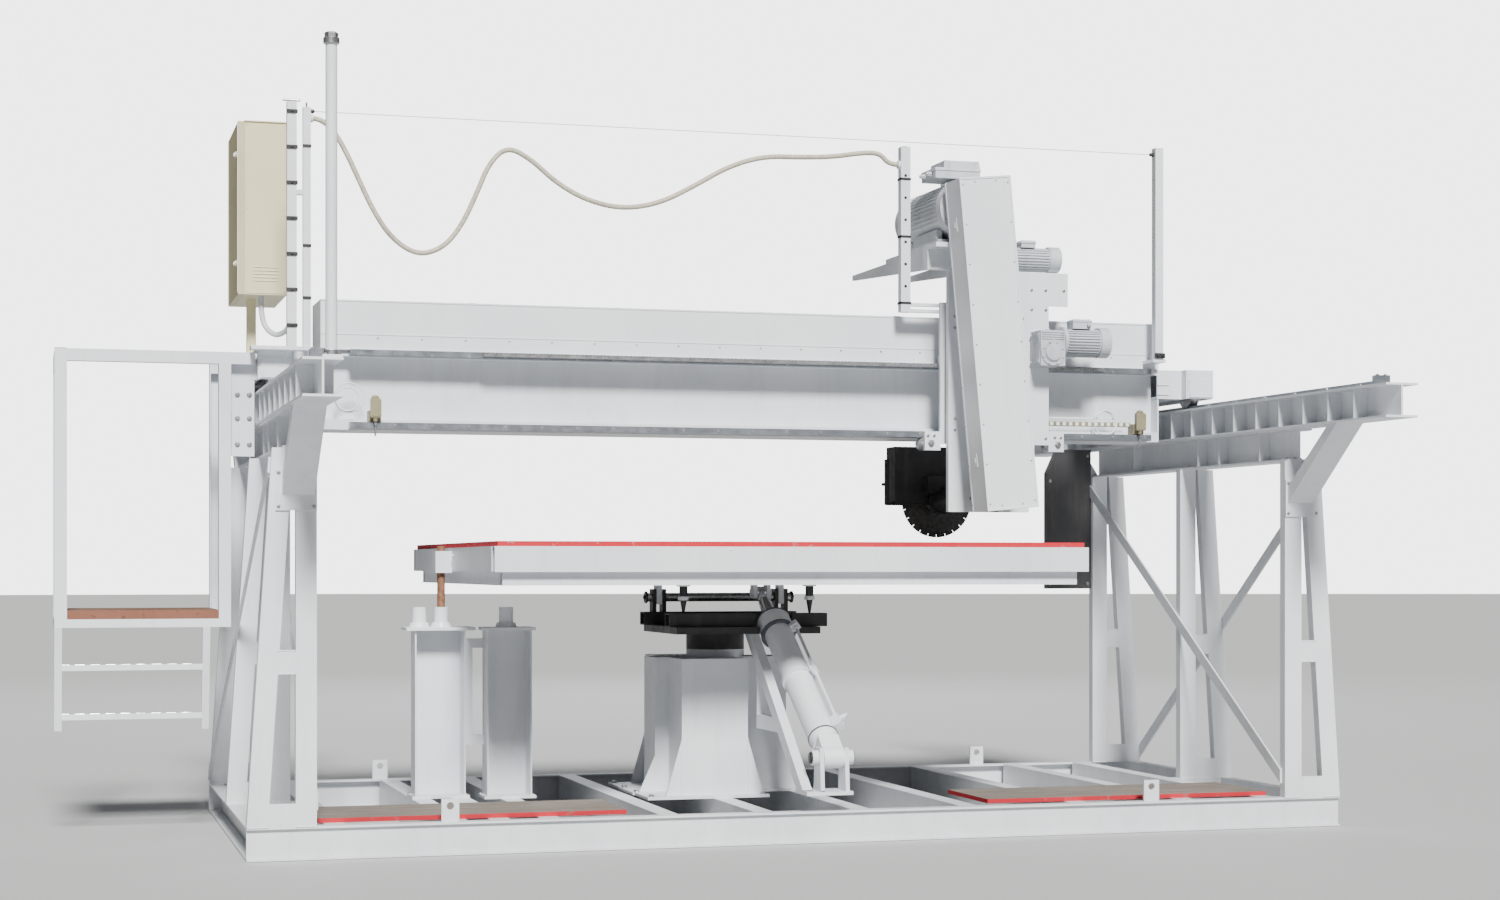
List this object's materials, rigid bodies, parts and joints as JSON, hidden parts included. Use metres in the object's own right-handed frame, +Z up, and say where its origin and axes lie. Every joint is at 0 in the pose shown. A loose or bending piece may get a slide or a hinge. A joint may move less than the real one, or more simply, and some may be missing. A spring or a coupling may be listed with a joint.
{
  "type": "bridge saw",
  "caption": "Stone bridge saw: two trestles with runways, a rolling bridge with a belt-driven blade carriage and platform, and a turning, hydraulically tilting slab table.",
  "frame": {"origin": "on the floor on the underside of the base's cross member, 71 mm to the left of the table's turning axis", "axes": "+X to the right along the bridge, +Y to the back along the runways, +Z up"},
  "size_m": [5.4072, 3.76, 3.09],
  "materials": {
    "white_paint": "satin enamel, slightly bluish white",
    "grey_paint": "satin dark grey enamel",
    "black_paint": "satin black enamel",
    "beige_paint": "powder coat",
    "motor_paint": "painted casting",
    "bare_steel": "machined",
    "blade_steel": "ground",
    "chrome_rod": "polished",
    "rusty_steel": "lightly rusted",
    "board_wood": "weathered, red painted edge",
    "red_board": "red paint on the edge",
    "belt_rubber": "matte",
    "cable_jacket": "matte",
    "conduit_jacket": "ribbed"
  },
  "bodies": {
    "frame": {"base_frame": "white_paint", "columns": "white_paint", "runway_beams": "white_paint", "runway_rails": "bare_steel", "trestle_braces": "white_paint", "floor_boards": "board_wood", "splash_panel": "grey_paint", "pedestal": "white_paint", "index_posts": "white_paint", "index_sockets": "white_paint", "supply_post": "white_paint"},
    "turntable": {"turntable_frame": "grey_paint", "hinge_shaft": "bare_steel", "cylinder_arm": "white_paint"},
    "barrel": {"cylinder_barrel": "white_paint", "cylinder_piping": "white_paint"},
    "ram": {"cylinder_rod": "chrome_rod"},
    "table": {"table_frame": "white_paint", "table_board": "red_board", "jack_screws": "black_paint"},
    "lock": {"lock_pin": "rusty_steel"},
    "bridge": {"bridge_beam": "white_paint", "bridge_cover": "white_paint", "guide_rails": "bare_steel", "drive_rack": "bare_steel", "end_trucks": "white_paint", "bridge_gearmotor": "motor_paint", "platform_frame": "white_paint", "platform_floor": "board_wood", "cabinet_body": "beige_paint", "cable_masts": "white_paint", "limit_switches": "motor_paint", "festoon_cable": "cable_jacket", "conduit_loop": "conduit_jacket"},
    "door": {"cabinet_door": "beige_paint"},
    "idle_left": {"idle_wheel_left": "bare_steel"},
    "idle_right": {"idle_wheel_right": "bare_steel"},
    "cross_axle": {"drive_axle": "bare_steel"},
    "lever_left": {"switch_lever_left": "bare_steel"},
    "lever_right": {"switch_lever_right": "bare_steel"},
    "carriage": {"carriage_plate": "white_paint", "cable_mast": "white_paint", "worm_gearbox": "motor_paint", "travel_motor": "motor_paint", "lift_gearmotor": "motor_paint"},
    "left_roller": {"roller_left": "bare_steel"},
    "right_roller": {"roller_right": "bare_steel"},
    "pinion": {"drive_pinion": "bare_steel"},
    "screw": {"lift_screw": "bare_steel"},
    "head": {"slide_plate": "white_paint", "motor_platform": "white_paint", "main_motor": "motor_paint", "belt_cover": "white_paint", "belt_backplate": "white_paint", "drive_belts": "belt_rubber", "spindle_housing": "grey_paint", "blade_guard": "black_paint"},
    "rotor": {"motor_pulley": "bare_steel"},
    "spindle": {"spindle_shaft": "bare_steel", "saw_blade": "blade_steel"}
  },
  "joints": [
    {"name": "bridge_travel", "type": "slide", "parent": "frame", "child": "bridge", "axis": [0, 1, 0], "range_m": [-1.45, 0.65]},
    {"name": "carriage_travel", "type": "slide", "parent": "bridge", "child": "carriage", "axis": [1, 0, 0], "range_m": [-2.43, 0.25], "deforming": ["festoon_cable"]},
    {"name": "head_lift", "type": "slide", "parent": "carriage", "child": "head", "axis": [0, 0, 1], "range_m": [-0.03, 0.1]},
    {"name": "turntable_turn", "type": "hinge", "parent": "frame", "child": "turntable", "pos_m": [0.071, 0, 0.765], "axis": [0, 0, 1], "range_deg": [0, 90]},
    {"name": "table_tilt", "type": "hinge", "parent": "turntable", "child": "table", "pos_m": [0, 0.255, 0.993], "axis": [-1, 0, 0], "range_deg": [0, 7]},
    {"name": "barrel_swing", "type": "hinge", "parent": "turntable", "child": "barrel", "pos_m": [0.275, -1.05, 0.35], "axis": [1, 0, 0], "range_deg": [0, 4]},
    {"name": "ram_slide", "type": "slide", "parent": "barrel", "child": "ram", "axis": [0, 0.8366, 0.5479], "range_m": [0, 0.05]},
    {"name": "lock_drop", "type": "slide", "parent": "table", "child": "lock", "axis": [0, 0, 1], "range_m": [-0.08, 0]},
    {"name": "door_swing", "type": "hinge", "parent": "bridge", "child": "door", "pos_m": [-1.985, 0.908, 2.71], "axis": [0, 0, -1], "range_deg": [0, 110]},
    {"name": "cross_axle_spin", "type": "hinge", "parent": "bridge", "child": "cross_axle", "pos_m": [0.265, 0.74, 1.955], "axis": [1, 0, 0], "continuous": true},
    {"name": "idle_left_spin", "type": "hinge", "parent": "bridge", "child": "idle_left", "pos_m": [-1.889, 0.01, 1.955], "axis": [1, 0, 0], "continuous": true},
    {"name": "idle_right_spin", "type": "hinge", "parent": "bridge", "child": "idle_right", "pos_m": [2.419, 0.01, 1.955], "axis": [1, 0, 0], "continuous": true},
    {"name": "lever_left_swing", "type": "hinge", "parent": "bridge", "child": "lever_left", "pos_m": [-1.468, -0.125, 1.742], "axis": [0, 1, 0], "range_deg": [-20, 20], "stiffness_Nm_per_rad": 0.05},
    {"name": "lever_right_swing", "type": "hinge", "parent": "bridge", "child": "lever_right", "pos_m": [2.098, -0.125, 1.742], "axis": [0, 1, 0], "range_deg": [-20, 20], "stiffness_Nm_per_rad": 0.05},
    {"name": "roller_left_spin", "type": "hinge", "parent": "carriage", "child": "left_roller", "pos_m": [1.03, -0.092, 1.692], "axis": [0, 1, 0], "continuous": true},
    {"name": "roller_right_spin", "type": "hinge", "parent": "carriage", "child": "right_roller", "pos_m": [1.65, -0.092, 1.692], "axis": [0, 1, 0], "continuous": true},
    {"name": "pinion_spin", "type": "hinge", "parent": "carriage", "child": "pinion", "pos_m": [1.575, -0.125, 2.105], "axis": [0, 1, 0], "continuous": true},
    {"name": "screw_spin", "type": "hinge", "parent": "carriage", "child": "screw", "pos_m": [1.33, -0.216, 2.1], "axis": [0, 0, 1], "continuous": true},
    {"name": "motor_spin", "type": "hinge", "parent": "head", "child": "rotor", "pos_m": [1.152, -0.4, 2.74], "axis": [0, 1, 0], "continuous": true},
    {"name": "spindle_spin", "type": "hinge", "parent": "head", "child": "spindle", "pos_m": [1.271, 0, 1.447], "axis": [0, 1, 0], "continuous": true}
  ],
  "couplings": [
    {"joint": "barrel_swing", "follows": "table_tilt", "ratio": 0.17465},
    {"joint": "ram_slide", "follows": "table_tilt", "m_per_rad": 0.18911},
    {"joint": "cross_axle_spin", "follows": "bridge_travel", "rad_per_m": -16.667},
    {"joint": "idle_left_spin", "follows": "bridge_travel", "rad_per_m": -16.667},
    {"joint": "idle_right_spin", "follows": "bridge_travel", "rad_per_m": -16.667},
    {"joint": "roller_left_spin", "follows": "carriage_travel", "rad_per_m": -33.333},
    {"joint": "roller_right_spin", "follows": "carriage_travel", "rad_per_m": -33.333},
    {"joint": "pinion_spin", "follows": "carriage_travel", "rad_per_m": 20},
    {"joint": "screw_spin", "follows": "head_lift", "rad_per_m": -628.32},
    {"joint": "spindle_spin", "follows": "motor_spin", "ratio": 1.5}
  ]
}
